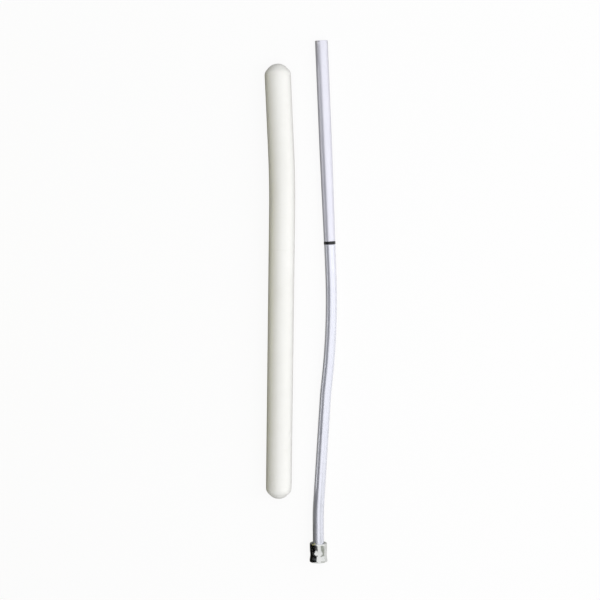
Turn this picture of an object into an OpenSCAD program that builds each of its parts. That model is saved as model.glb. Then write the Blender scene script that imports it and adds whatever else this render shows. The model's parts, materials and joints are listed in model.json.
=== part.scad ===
// White cane in two plug-in sections, with a carrying case lying beside it.
// Both lie on a table. The case runs along Y, and the cane leans a little away from that direction.
// An elastic cord inside the cane pulls its sections together at the black ring.

/* [Layout on the table] */
// Distance of the case's axis to the left of the origin
case_left = 33; // [28:0.5:60]
// Distance of the case's closed end behind the origin
case_back = 342; // [300:1:380]
// Distance of the cane's joint to the right of the origin
joint_right = 50; // [45:0.5:90]
// Distance of the cane's joint in front of the origin
joint_forward = 111; // [60:1:160]
// Lean of the cane's upper section towards the case, in degrees
cane_lean = 3.2; // [0:0.1:4]

/* [Upper section] */
// Length of the upper tube
upper_len = 342; // [280:1:420]
// Diameter of the grip, the straight part at the top
grip_d = 21.9; // [21:0.1:25]
// Length of the grip
grip_len = 190; // [100:1:220]
// Diameter of the upper tube at the joint
mouth_d = 19.8; // [19:0.1:21]
// Bore of both tubes
tube_bore = 15; // [14:0.1:15.5]

/* [Lower section] */
// Diameter of the lower tube
lower_d = 19.5; // [18.6:0.1:21]
// Straight stretch of the lower tube below the joint
stub_len = 43.5; // [40:0.5:70]
// Length of the first bow, towards the case
bow_in_len = 197.4; // [100:0.1:220]
// Radius of the first bow
bow_in_r = 1300; // [800:10:1500]
// Straight stretch between the first two bows
mid_len = 6; // [2:1:40]
// Length of the second bow, back again
bow_back_len = 24; // [10:0.5:35]
// Radius of the second bow
bow_back_r = 500; // [300:10:800]
// Long straight stretch below the second bow
shin_len = 187; // [150:1:240]
// Length of the third bow, just above the tip
bow_end_len = 30; // [10:0.5:45]
// Radius of the third bow
bow_end_r = 430; // [300:10:700]
// Straight stretch at the end of the lower tube
tail_len = 62.5; // [58:0.5:90]

/* [Joint] */
// Width of the slot between the tubes that the black ring fills
ring_slot = 5.5; // [3:0.1:9]
// Diameter of the black ring
ring_d = 20.4; // [20:0.1:24]
// Rounding of the black ring's outer edges
ring_round = 1; // [0.4:0.1:1.2]
// Gap on each face of the black ring
ring_gap = 0.1; // [0.05:0.05:0.2]
// Outer diameter of the sleeve in the mouth of the upper tube
sleeve_d = 17; // [16.4:0.1:17.6]
// Length of that sleeve
sleeve_len = 44; // [42:1:60]
// How far the spigot reaches past the black ring
spigot_reach = 40; // [25:1:42]
// How far the spigot is bonded into the lower tube
spigot_root = 38; // [25:1:40]
// Bore of the spigot
spigot_bore = 9; // [8:0.1:10]
// Lead-in chamfer of the sleeve, the spigot and the case's neck
lead_in = 0.6; // [0.3:0.1:0.8]
// Length of the nose on the end of the spigot
nose_len = 6; // [4:0.5:8]
// Diameter of the nose
nose_d = 14; // [12:0.1:14.4]
// Rounding of the nose
nose_round = 2.5; // [1:0.1:3]
// How far the nose is plugged into the spigot
nose_plug = 8; // [5:0.5:14]

/* [Elastic cord] */
// Diameter of the cord
cord_d = 4; // [3:0.1:4.4]
// Clearance of the cord in the holes that it runs through
cord_room = 0.2; // [0.1:0.05:0.4]
// Diameter of the knot
knot_d = 8.6; // [7:0.1:9.4]
// Height of the knot
knot_h = 7; // [5:0.1:8]
// Radius of the loop at the lower end, at the middle of the cord
loop_r = 4.3; // [3.9:0.1:4.8]
// Outer diameter of the crimp that closes the loop
crimp_d = 7.6; // [6.5:0.1:9]
// Length of the crimp
crimp_len = 10; // [6:0.5:14]
// Distance of the crimp above the loop
crimp_rise = 0.6; // [0.3:0.1:2]

/* [Top end] */
// Thickness of the flat top cap
cap_t = 3; // [2:0.1:6]
// Rounding of the top cap's edge
cap_round = 1; // [0.4:0.1:1.8]
// Length of the stem under the top cap
cap_stem_len = 12; // [8:0.5:16]
// Length of the anchor bush
bush_len = 36; // [32:1:50]
// Diameter of the flange that hangs the anchor bush in the tube
bush_flange_d = 18; // [17:0.1:19]
// Thickness of that flange
bush_flange_t = 2; // [1.5:0.1:3]
// Inner diameter of the anchor bush
bush_bore = 11; // [10.6:0.1:12]
// Thickness of the web that the knot pulls on
web_t = 4; // [3:0.1:6]
// Thickness of the washer under the knot
washer_t = 1; // [0.6:0.1:1.6]
// Clearance of the washer in the bush
washer_room = 0.3; // [0.1:0.05:0.5]

/* [Tip] */
// Largest diameter of the chrome shell, at its flared foot
tip_d = 31.4; // [27:0.1:36]
// Diameter of the shell's barrel, above the waist
barrel_d = 30.4; // [26:0.1:32]
// Diameter of the shell's waist
waist_d = 29.6; // [25:0.1:30]
// Height of the shell
shell_len = 33.5; // [30:0.5:45]
// Height of the barrel
barrel_len = 13; // [8:0.5:15]
// Distance of the waist below the shell's upper edge
waist_drop = 19.5; // [17:0.5:22]
// Height of the flared foot
foot_len = 4; // [3:0.1:6]
// Rounding of the shell's upper and lower edge
rim_round = 1.6; // [0.8:0.1:2]
// Clearance of the lower tube in the shell
tube_room = 0.3; // [0.2:0.05:0.8]
// Thickness of the shell's floor
floor_t = 4; // [3:0.1:6]
// Diameter of the wear pad under the shell
pad_d = 22; // [18:0.1:24]
// Thickness of the wear pad
pad_t = 4.2; // [3:0.1:6]
// How far the wear pad stands proud of the shell
pad_proud = 1; // [0.5:0.1:2]
// Edge rounding of the wear pad
pad_round = 0.6; // [0.3:0.1:0.9]
// Thickness of the flange on which the tube's end sits
seat_t = 4; // [2:0.1:6]
// Length of the stem inside the tube
stem_len = 28; // [20:0.5:30]
// Wire diameter of the eye on the stem
eye_wire = 2.5; // [2:0.1:2.8]
// Radius of the eye, at the middle of the wire
eye_r = 4; // [3.8:0.1:4.6]
// Diameter of the eye's shank in the stem
shank_d = 4; // [3:0.1:5]
// Length of the eye's shank
shank_len = 10; // [6:0.5:14]
// Diameter of the screw from below
screw_d = 5; // [4:0.1:6]
// Diameter of the screw's countersunk head
screw_head_d = 9; // [8:0.1:11]
// Length of the screw's thread in the stem
screw_grip = 10; // [6:0.5:14]
// Diameter of the hexagon in the screw's head
screw_hex = 3; // [2:0.1:4]

/* [Case] */
// Outer diameter of the case
case_d = 45; // [45:0.5:60]
// Wall of the case
case_wall = 2; // [1.5:0.1:3]
// Length of the case's body, from its closed end to the seam
body_len = 436; // [380:1:520]
// Radius of the blunt nose at each end of the case
blunt_r = 21; // [16:0.5:24]
// Radius of the shoulder between each end's cone and the straight tube
shoulder_r = 14; // [9:0.5:16]
// Straight stretch of the cap above the seam
cap_stub = 67; // [50:1:100]
// Length of the cap's bow, away from the cane
cap_bow_len = 105.5; // [40:0.5:180]
// Radius of the cap's bow
cap_bow_r = 1860; // [1000:10:2500]
// Straight stretch of the cap above the bow
cap_straight = 128.5; // [60:0.5:160]
// Gap at the seam
seam_gap = 0.2; // [0.1:0.05:0.5]
// Wall of the neck that the cap pushes on to
neck_wall = 2.4; // [2.2:0.1:3]
// Length of the neck in the body
neck_root = 30; // [20:1:60]
// Length of the neck in the cap
neck_reach = 30; // [20:1:45]
// Clearance of the cap on the neck
neck_room = 0.1; // [0.05:0.05:0.1]
// Section of the friction ring on the neck
grip_ring_d = 1.6; // [1.2:0.1:1.8]
// Height of the friction ring above the seam
grip_ring_rise = 18; // [8:0.5:20]

/* [Fits] */
// Radial clearance of the spigot in its sleeve, the tip's stem in the tube and the cord in its crimp
fit_gap = 0.05; // [0.02:0.01:0.1]

/* [Hidden] */
// Steps in a full turn of a round piece, and of a long bow
round_fn = 64;
bow_fn = 720;
$fn = round_fn;
// How far a cut runs past the face that it opens
past = 1;
// How far a straight stretch laps over a bow, and how much slimmer the bow is all round
bow_lap = 1;
bow_slim = 0.05;
// Slack between the cord's loop and the eye that it pulls on
link_slack = 0.1;

white = "#e9e8f2";
cream = "#f0efe2";
black = "#17171a";
chrome = "#c9ccd0";
steel = "#9aa0a6";
alloy = "#b9bdc2";
nylon = "#dcdcd6";

spigot_d = tube_bore - 2 * fit_gap;
cord_hole = cord_d + 2 * cord_room;
ring_h = ring_slot - 2 * ring_gap;
tube_hole = lower_d + 2 * tube_room;
// Depth from the shell's rim to the seat of the tube's end
seat_deep = shell_len + pad_proud - pad_t - floor_t - seat_t;
case_bore = case_d - 2 * case_wall;
// Turn of the cone's normal, and the middle of the shoulder's round
cone_turn = 45;
shoulder_x = case_d / 2 - shoulder_r;
cone_run = shoulder_x + (shoulder_r - blunt_r) * cos(cone_turn);
shoulder_y = blunt_r + cone_run * tan(cone_turn) + (shoulder_r - blunt_r) * sin(cone_turn);
neck_d = case_bore - 2 * neck_room;
neck_bore = case_bore - 2 * neck_wall;
// Radius of the friction ring, at the middle of its section
grip_ring_seat = case_bore / 2 - fit_gap - grip_ring_d / 2;

// Heights along the cane, from the mouth of the upper tube
nose_top = spigot_reach + nose_len;
web_top = upper_len - bush_len + web_t;
knot_foot = web_top + washer_t;

// Heights inside the lower tube, from its lower end
eye_height = stem_len + eye_r + eye_wire / 2;
loop_height = eye_height + eye_r - eye_wire / 2 - cord_d / 2 - link_slack + loop_r;
loop_top = loop_height + loop_r;

// Bows as angles
bow_in_turn = bow_in_len / bow_in_r * 180 / PI;
bow_back_turn = bow_back_len / bow_back_r * 180 / PI;
bow_end_turn = bow_end_len / bow_end_r * 180 / PI;
cap_bow_turn = cap_bow_len / cap_bow_r * 180 / PI;

// Each stretch of a bowed run is a straight length, then a bow and its radius
lower_run = [
    [stub_len, bow_in_turn, bow_in_r],
    [mid_len, -bow_back_turn, bow_back_r],
    [shin_len, -bow_end_turn, bow_end_r],
    [tail_len, 0, 0]
];
cord_run = [
    [nose_top + ring_slot + stub_len, bow_in_turn, bow_in_r],
    [mid_len, -bow_back_turn, bow_back_r],
    [shin_len, -bow_end_turn, bow_end_r],
    [tail_len - loop_top, 0, 0]
];
cap_run = [
    [cap_stub, cap_bow_turn, cap_bow_r],
    [cap_straight, 0, 0]
];

// Where a run ends in its own plane, as sideways and forward distance
function run_end(run, i = 0, heading = 0, at = [0, 0]) =
    i == len(run) ? at :
    let (
        straight = run[i][0] * [-sin(heading), cos(heading)],
        turned = heading + run[i][1],
        side = sign(run[i][1]) * run[i][2],
        bend = side * [cos(turned) - cos(heading), sin(turned) - sin(heading)]
    )
    run_end(run, i + 1, turned, at + straight + bend);

// The cane rests on the shell's foot and on the end of the grip, so it tilts a little
rest_len = upper_len + ring_slot + run_end(lower_run)[1] + shell_len - foot_len - seat_deep;
cane_tilt = asin((tip_d - grip_d) / 2 / rest_len);
joint_height = grip_d / 2 + upper_len * sin(cane_tilt);

// Frame of the cane: origin in the mouth of the upper tube, Z towards the top end
module in_cane() {
    translate([joint_right, joint_forward, joint_height])
        rotate([0, 0, cane_lean])
            rotate([-90 - cane_tilt, 0, 0])
                children();
}

// Frame of the lower tube: origin on its upper end, Z towards the tip
module in_lower() {
    in_cane()
        rotate([180, 0, 0])
            translate([0, 0, ring_slot])
                children();
}

// Frame of the tip: origin on the lower tube's end, Z towards the ground
module in_tip() {
    in_lower()
        after_run(lower_run)
            children();
}

// Frame of the case: origin on its closed end, Z towards the cap
module in_case() {
    translate([-case_left, -case_back, case_d / 2])
        rotate([-90, 0, 0])
            children();
}

// Moves to the end of one bow that starts at the origin along Z
module after_bow(angle, radius) {
    side = sign(angle) * radius;
    translate([-side, 0, 0])
        rotate([0, -angle, 0])
            translate([side, 0, 0])
                children();
}

// Moves to the end of a whole run
module after_run(run, i = 0) {
    if (i == len(run))
        children();
    else
        translate([0, 0, run[i][0]])
            after_bow(run[i][1], run[i][2])
                after_run(run, i + 1)
                    children();
}

// One bow of a round bar, towards negative X
module bow_bar(angle, radius, d) {
    translate([-radius, 0, 0])
        rotate([90, 0, 0])
            rotate_extrude(angle = angle, $fn = bow_fn)
                translate([radius, 0])
                    circle(d = d - 2 * bow_slim, $fn = round_fn);
}

// Round bar along a run: each straight stretch laps over the slightly slimmer bows at its ends,
// and a bore runs on by the spare length at both ends
module run_bar(run, d, spare = 0, i = 0) {
    if (i < len(run)) {
        before = i > 0 ? bow_lap : spare;
        after = run[i][1] != 0 ? bow_lap : spare;
        translate([0, 0, -before])
            cylinder(d = d, h = before + run[i][0] + after);
        translate([0, 0, run[i][0]]) {
            if (run[i][1] > 0)
                bow_bar(run[i][1], run[i][2], d);
            if (run[i][1] < 0)
                mirror([1, 0, 0])
                    bow_bar(-run[i][1], run[i][2], d);
            after_bow(run[i][1], run[i][2])
                run_bar(run, d, spare, i + 1);
        }
    }
}

// Straight tube along Z
module pipe(d, bore, h) {
    difference() {
        cylinder(d = d, h = h);
        translate([0, 0, -past])
            cylinder(d = bore, h = h + 2 * past);
    }
}

// Turned bar along Z with the lead-in chamfer at its far end
module led_bar(d, h) {
    rotate_extrude()
        polygon([
            [0, 0],
            [d / 2, 0],
            [d / 2, h - lead_in],
            [d / 2 - lead_in, h],
            [0, h]
        ]);
}

// Half section of a disc with its upper edge rounded
module rounded_half(r, h, round) {
    square([r - round, h]);
    square([r, h - round]);
    translate([r - round, h - round])
        circle(r = round);
}

// Half section of a closed tube of the case, thinned by t: a blunt nose, a cone, a shoulder, a straight part
module closed_half(length, t) {
    blunt_in = blunt_r - t;
    shoulder_in = shoulder_r - t;
    intersection() {
        union() {
            translate([0, blunt_r])
                circle(r = blunt_in);
            translate([shoulder_x, shoulder_y])
                circle(r = shoulder_in);
            polygon([
                [0, blunt_r - blunt_in * sin(cone_turn)],
                [blunt_in * cos(cone_turn), blunt_r - blunt_in * sin(cone_turn)],
                [shoulder_x + shoulder_in * cos(cone_turn), shoulder_y - shoulder_in * sin(cone_turn)],
                [shoulder_x + shoulder_in, shoulder_y],
                [shoulder_x + shoulder_in, length + past],
                [0, length + past]
            ]);
        }
        square([case_d, length + t]);
    }
}

// Closed tube of the case, with its nose at the origin
module closed_tube(length) {
    rotate_extrude()
        difference() {
            closed_half(length, 0);
            closed_half(length, case_wall);
        }
}

// Ring of round section around Z
module round_ring(r, section) {
    rotate_extrude()
        translate([r, 0])
            circle(d = section);
}

module upper_tube() {
    color(white)
        in_cane()
            difference() {
                union() {
                    cylinder(d1 = mouth_d, d2 = grip_d, h = upper_len - grip_len);
                    translate([0, 0, upper_len - grip_len])
                        cylinder(d = grip_d, h = grip_len);
                }
                translate([0, 0, -past])
                    cylinder(d = tube_bore, h = upper_len + 2 * past);
                translate([0, 0, -past])
                    cylinder(d = sleeve_d, h = sleeve_len + past);
                translate([0, 0, upper_len - bush_flange_t])
                    cylinder(d = bush_flange_d, h = bush_flange_t + past);
            }
}

module joint_sleeve() {
    color(alloy)
        in_cane()
            difference() {
                pipe(sleeve_d, tube_bore, sleeve_len);
                cylinder(d1 = tube_bore + 2 * lead_in, d2 = tube_bore, h = lead_in);
            }
}

module anchor_bush() {
    color(nylon)
        in_cane()
            translate([0, 0, upper_len - bush_len])
                difference() {
                    union() {
                        cylinder(d = tube_bore, h = bush_len);
                        translate([0, 0, bush_len - bush_flange_t])
                            cylinder(d = bush_flange_d, h = bush_flange_t);
                    }
                    translate([0, 0, web_t])
                        cylinder(d = bush_bore, h = bush_len);
                    translate([0, 0, -past])
                        cylinder(d = cord_hole, h = web_t + 2 * past);
                }
}

module top_cap() {
    color(white)
        in_cane()
            translate([0, 0, upper_len]) {
                rotate_extrude()
                    rounded_half(grip_d / 2, cap_t, cap_round);
                translate([0, 0, -cap_stem_len])
                    cylinder(d = bush_bore, h = cap_stem_len);
            }
}

module knot_washer() {
    color(steel)
        in_cane()
            translate([0, 0, web_top])
                pipe(bush_bore - 2 * washer_room, cord_hole, washer_t);
}

module cord_knot() {
    color(black)
        in_cane()
            translate([0, 0, knot_foot])
                intersection() {
                    translate([0, 0, knot_h - knot_d / 2])
                        sphere(d = knot_d);
                    cylinder(d = knot_d, h = knot_h);
                }
}

module cord_upper() {
    color(black)
        in_cane()
            translate([0, 0, nose_top])
                cylinder(d = cord_d, h = knot_foot - nose_top);
}

module joint_ring() {
    color(black)
        in_cane()
            translate([0, 0, -ring_slot / 2])
                rotate_extrude()
                    intersection() {
                        translate([tube_bore / 2, -ring_h / 2])
                            square([(ring_d - tube_bore) / 2, ring_h]);
                        union() {
                            rounded_half(ring_d / 2, ring_h / 2, ring_round);
                            mirror([0, 1])
                                rounded_half(ring_d / 2, ring_h / 2, ring_round);
                        }
                    }
}

module lower_tube() {
    color(white)
        in_lower()
            difference() {
                run_bar(lower_run, lower_d);
                run_bar(lower_run, tube_bore, past);
            }
}

module joint_spigot() {
    color(alloy)
        in_lower()
            difference() {
                union() {
                    cylinder(d = tube_bore, h = spigot_root);
                    translate([0, 0, spigot_root])
                        mirror([0, 0, 1])
                            led_bar(spigot_d, spigot_root + ring_slot + spigot_reach);
                }
                translate([0, 0, -ring_slot - spigot_reach - past])
                    cylinder(d = spigot_bore, h = ring_slot + spigot_reach + spigot_root + 2 * past);
            }
}

module spigot_nose() {
    color(nylon)
        in_cane()
            translate([0, 0, spigot_reach])
                difference() {
                    union() {
                        rotate_extrude()
                            rounded_half(nose_d / 2, nose_len, nose_round);
                        translate([0, 0, -nose_plug])
                            cylinder(d = spigot_bore, h = nose_plug);
                    }
                    translate([0, 0, -nose_plug - past])
                        cylinder(d = cord_hole, h = nose_plug + nose_len + 2 * past);
                }
}

module cord_lower() {
    color(black) {
        in_lower()
            translate([0, 0, -ring_slot - nose_top])
                run_bar(cord_run, cord_d);
        in_tip()
            translate([0, 0, -loop_height])
                rotate([0, 90, 0])
                    round_ring(loop_r, cord_d);
    }
}

module cord_crimp() {
    color(steel)
        in_tip()
            translate([0, 0, -loop_top - cord_d / 2 - crimp_rise - crimp_len])
                pipe(crimp_d, cord_d + 2 * fit_gap, crimp_len);
}

module tip_shell() {
    color(chrome)
        in_tip()
            translate([0, 0, -seat_deep])
                difference() {
                    rotate_extrude() {
                        translate([0, barrel_len])
                            mirror([0, 1])
                                rounded_half(barrel_d / 2, barrel_len, rim_round);
                        polygon([
                            [0, barrel_len],
                            [barrel_d / 2, barrel_len],
                            [waist_d / 2, waist_drop],
                            [tip_d / 2, shell_len - foot_len],
                            [0, shell_len - foot_len]
                        ]);
                        translate([0, shell_len - foot_len])
                            rounded_half(tip_d / 2, foot_len, rim_round);
                    }
                    translate([0, 0, -past])
                        cylinder(d = tube_hole, h = seat_deep + seat_t + past);
                    translate([0, 0, shell_len - pad_t + pad_proud])
                        cylinder(d = pad_d, h = pad_t);
                    translate([0, 0, seat_deep])
                        cylinder(d = screw_d, h = shell_len);
                    screw_head();
                }
}

// Cone of the countersunk head, in the frame of the shell
module screw_head() {
    head_len = (screw_head_d - screw_d) / 2;
    translate([0, 0, seat_deep + seat_t + floor_t - head_len])
        cylinder(d1 = screw_d, d2 = screw_head_d, h = head_len);
}

module tip_stem() {
    color(nylon)
        in_tip()
            difference() {
                union() {
                    translate([0, 0, -stem_len])
                        cylinder(d = tube_bore - 2 * fit_gap, h = stem_len);
                    cylinder(d = tube_hole, h = seat_t);
                }
                translate([0, 0, -screw_grip])
                    cylinder(d = screw_d, h = screw_grip + seat_t + past);
                translate([0, 0, -stem_len - past])
                    cylinder(d = shank_d, h = shank_len + past);
            }
}

module tip_eye() {
    color(steel)
        in_tip() {
            translate([0, 0, -eye_height])
                rotate([90, 0, 0])
                    round_ring(eye_r, eye_wire);
            translate([0, 0, -stem_len - eye_wire / 2])
                cylinder(d = shank_d, h = shank_len + eye_wire / 2);
        }
}

module tip_screw() {
    color(steel)
        in_tip()
            difference() {
                union() {
                    translate([0, 0, -screw_grip])
                        cylinder(d = screw_d, h = screw_grip + seat_t + floor_t);
                    translate([0, 0, -seat_deep])
                        screw_head();
                }
                translate([0, 0, seat_t])
                    cylinder(d = screw_hex, h = floor_t + past, $fn = 6);
            }
}

module tip_pad() {
    color(black)
        in_tip()
            translate([0, 0, seat_t + floor_t])
                rotate_extrude()
                    rounded_half(pad_d / 2, pad_t, pad_round);
}

module case_body() {
    color(cream)
        in_case()
            closed_tube(body_len);
}

module case_neck() {
    color(cream)
        in_case()
            translate([0, 0, body_len])
                difference() {
                    union() {
                        translate([0, 0, -neck_root]) {
                            cylinder(d = case_bore, h = neck_root);
                            led_bar(neck_d, neck_root + neck_reach);
                        }
                    }
                    translate([0, 0, -neck_root - past])
                        cylinder(d = neck_bore, h = neck_root + neck_reach + 2 * past);
                    translate([0, 0, grip_ring_rise])
                        round_ring(grip_ring_seat, grip_ring_d);
                }
}

module neck_ring() {
    color(black)
        in_case()
            translate([0, 0, body_len + grip_ring_rise])
                round_ring(grip_ring_seat, grip_ring_d);
}

module case_cap() {
    color(cream)
        in_case()
            translate([0, 0, body_len + seam_gap]) {
                difference() {
                    run_bar(cap_run, case_d);
                    run_bar(cap_run, case_bore, past);
                }
                after_run(cap_run)
                    translate([0, 0, shoulder_y])
                        mirror([0, 0, 1])
                            closed_tube(shoulder_y);
            }
}

upper_tube();
joint_sleeve();
anchor_bush();
top_cap();
knot_washer();
cord_knot();
cord_upper();
joint_ring();
lower_tube();
joint_spigot();
spigot_nose();
cord_lower();
cord_crimp();
tip_shell();
tip_stem();
tip_eye();
tip_screw();
tip_pad();
case_body();
case_neck();
neck_ring();
case_cap();
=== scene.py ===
import json
import math

import bmesh
import bpy
from mathutils import Matrix, Vector


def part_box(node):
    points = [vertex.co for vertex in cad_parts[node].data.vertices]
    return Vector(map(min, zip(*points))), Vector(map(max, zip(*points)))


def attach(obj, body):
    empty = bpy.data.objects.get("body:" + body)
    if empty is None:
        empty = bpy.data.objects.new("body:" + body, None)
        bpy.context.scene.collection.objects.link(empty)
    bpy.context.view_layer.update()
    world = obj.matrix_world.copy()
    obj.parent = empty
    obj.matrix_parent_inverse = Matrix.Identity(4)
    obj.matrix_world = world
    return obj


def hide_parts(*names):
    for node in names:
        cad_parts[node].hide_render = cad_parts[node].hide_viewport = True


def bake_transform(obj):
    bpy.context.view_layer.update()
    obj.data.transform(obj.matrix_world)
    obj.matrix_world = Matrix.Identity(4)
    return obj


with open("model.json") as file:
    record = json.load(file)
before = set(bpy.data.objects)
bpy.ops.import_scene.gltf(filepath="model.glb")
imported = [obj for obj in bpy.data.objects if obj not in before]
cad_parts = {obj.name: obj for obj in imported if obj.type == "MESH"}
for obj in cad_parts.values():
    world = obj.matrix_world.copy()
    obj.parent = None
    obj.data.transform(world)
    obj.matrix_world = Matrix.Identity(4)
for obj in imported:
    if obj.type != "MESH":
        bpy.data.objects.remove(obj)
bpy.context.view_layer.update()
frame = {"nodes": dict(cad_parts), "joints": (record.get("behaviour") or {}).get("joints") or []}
scene = bpy.context.scene
joints = {joint["name"]: joint for joint in frame["joints"]}
mm = 0.001


# Camera over the table, a little towards the top end of the cane
photoView = {
    "position": (-3.4 * mm, 268.6 * mm, 2780 * mm),
    "target": (0, 6.6 * mm, 0),
    "roll": 0.75,  # degrees, anticlockwise
    "lens": 95.74,
    "sensor": 36,
    "farClip": 50,  # metres
}


def placeCamera(settings):
    camera = bpy.data.objects.new("photoCamera", bpy.data.cameras.new("photoCamera"))
    scene.collection.objects.link(camera)
    camera.data.lens = settings["lens"]
    camera.data.sensor_width = settings["sensor"]
    camera.data.clip_end = settings["farClip"]
    position = Vector(settings["position"])
    back = (position - Vector(settings["target"])).normalized()
    roll = math.radians(settings["roll"])
    upHint = Vector((-math.sin(roll), math.cos(roll), 0))
    right = upHint.cross(back).normalized()
    up = back.cross(right)
    camera.matrix_world = Matrix.Translation(position) @ Matrix((right, up, back)).transposed().to_4x4()
    scene.camera = camera


placeCamera(photoView)
print("camera placed")


# Routes: a straight stretch, then a bow's length and radius; a positive bow turns away from side
def routeOf(start, forward, side, stretches):
    legs = []
    reach, along, across, heading = 0.0, 0.0, 0.0, 0.0
    for straight, bow, radius in stretches:
        legs.append((reach, along, across, heading, 0.0))
        along += straight * math.cos(heading)
        across -= straight * math.sin(heading)
        reach += straight
        if bow:
            curve = math.copysign(1 / radius, bow)
            legs.append((reach, along, across, heading, curve))
            turned = heading + bow * abs(curve)
            along += (math.sin(turned) - math.sin(heading)) / curve
            across += (math.cos(turned) - math.cos(heading)) / curve
            reach += abs(bow)
            heading = turned

    def at(distance):
        begin, along, across, heading, curve = [leg for leg in legs if leg[0] <= max(distance, 0)][-1]
        step = distance - begin
        turned = heading + step * curve
        if curve:
            along += (math.sin(turned) - math.sin(heading)) / curve
            across += (math.cos(turned) - math.cos(heading)) / curve
        else:
            along += step * math.cos(heading)
            across -= step * math.sin(heading)
        centre = start + forward * along + side * across
        lateral = forward * math.sin(turned) + side * math.cos(turned)
        return centre, lateral

    lift = forward.cross(side)
    if lift.z < 0:
        lift = -lift
    return {"at": at, "lift": lift, "length": reach}


# Sizes that several pieces share; a bow is its length and its radius
caneSizes = {
    "upperLength": 342 * mm,
    "ringSlot": 5.5 * mm,
    "stub": 43.5 * mm,
    "bowIn": (197.4 * mm, 1300 * mm),
    "mid": 6 * mm,
    "bowBack": (-24 * mm, 500 * mm),
    "shin": 187 * mm,
    "bowEnd": (-30 * mm, 430 * mm),
    "tail": 62.5 * mm,
    "bore": 15 * mm,
    "sleeveRadius": 8.5 * mm,
    "sleeveLength": 44 * mm,
    "fitGap": 0.05 * mm,
}
caseSizes = {
    "seamGap": 0.2 * mm,
    "seamHair": 0.03 * mm,  # what still shows of the gap
    "rimEdge": 0.06 * mm,
    "capStub": 67 * mm,
    "capBow": (105.5 * mm, 1860 * mm),
    "capStraight": 128.5 * mm,
    "diameter": 44.93 * mm,
    "wall": 2 * mm,
    "bluntRadius": 21 * mm,
    "shoulderRadius": 14 * mm,
    "noseSteps": 14,
    "sides": 128,
    "bodyStep": 12 * mm,
}

caneUp = -Vector(joints["joint_pull"]["axis"]).normalized()
caneMouth = Vector(joints["joint_twist"]["pos_m"])
caneSide = Vector((caneUp.y, -caneUp.x, 0)).normalized()
upperRoute = routeOf(caneMouth, caneUp, caneSide, [(caneSizes["upperLength"], 0, 0)])


def lowerStretches(firstStraight, lastStraight):
    return [
        (firstStraight, *caneSizes["bowIn"]),
        (caneSizes["mid"], *caneSizes["bowBack"]),
        (caneSizes["shin"], *caneSizes["bowEnd"]),
        (lastStraight, 0, 0),
    ]


lowerRoute = routeOf(
    caneMouth - caneUp * caneSizes["ringSlot"],
    -caneUp,
    caneSide,
    lowerStretches(caneSizes["stub"], caneSizes["tail"]),
)
lowerEnd = lowerRoute["length"]  # tip pieces are placed from the lower tube's end

bodyLow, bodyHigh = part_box("case_body")
caseAxis = Vector(((bodyLow.x + bodyHigh.x) / 2, bodyLow.y, (bodyLow.z + bodyHigh.z) / 2))
bodyLength = bodyHigh.y - bodyLow.y
caseForward, caseSide = Vector((0, 1, 0)), Vector((1, 0, 0))
bodyRoute = routeOf(caseAxis, caseForward, caseSide, [(bodyLength, 0, 0)])
capRoute = routeOf(
    caseAxis + caseForward * (bodyLength + caseSizes["seamGap"]),
    caseForward,
    caseSide,
    [(caseSizes["capStub"], *caseSizes["capBow"]), (caseSizes["capStraight"], 0, 0)],
)
print("routes laid out")


# How finely the turned pieces are cut, and how far their small edges are broken
meshDetail = {
    "sides": 96,
    "step": 6 * mm,
    "roundSteps": 5,
    "longestCut": 0.49,  # share of the edge beside a rounded corner
    "onAxis": 1e-7,
    "sharpAngle": 35,  # degrees
}
edgeBreak = {"sharp": 0.1 * mm, "fine": 0.15 * mm, "small": 0.2 * mm, "plain": 0.3 * mm, "full": 0.5 * mm}


# Profiles are corners of (distance along the route, radius, rounding)
def softened(corners, closed):
    points = []
    count, steps, longest = len(corners), meshDetail["roundSteps"], meshDetail["longestCut"]
    for i, (along, radius, rounding) in enumerate(corners):
        here = Vector((along, radius))
        inner = closed or 0 < i < count - 1
        if not (inner and rounding):
            points.append(here)
            continue
        before = Vector(corners[i - 1][:2]) - here
        after = Vector(corners[(i + 1) % count][:2]) - here
        cut = min(rounding, before.length * longest, after.length * longest)
        start = here + before.normalized() * cut
        end = here + after.normalized() * cut
        for k in range(steps + 1):
            t = k / steps
            points.append(start * (1 - t) ** 2 + here * 2 * t * (1 - t) + end * t**2)
    return points


def spaced(points, closed, step):
    filled = []
    count = len(points)
    for i in range(count if closed else count - 1):
        here, there = points[i], points[(i + 1) % count]
        parts = max(1, math.ceil(abs(there.x - here.x) / step))
        filled += [here.lerp(there, k / parts) for k in range(parts)]
    return filled if closed else filled + [points[-1]]


def addObject(name, data):
    thing = bpy.data.objects.new(name, data)
    scene.collection.objects.link(thing)
    return thing


def smoothFaces(mesh):
    mesh.polygons.foreach_set("use_smooth", [True] * len(mesh.polygons))
    mesh.set_sharp_from_angle(angle=math.radians(meshDetail["sharpAngle"]))


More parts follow.
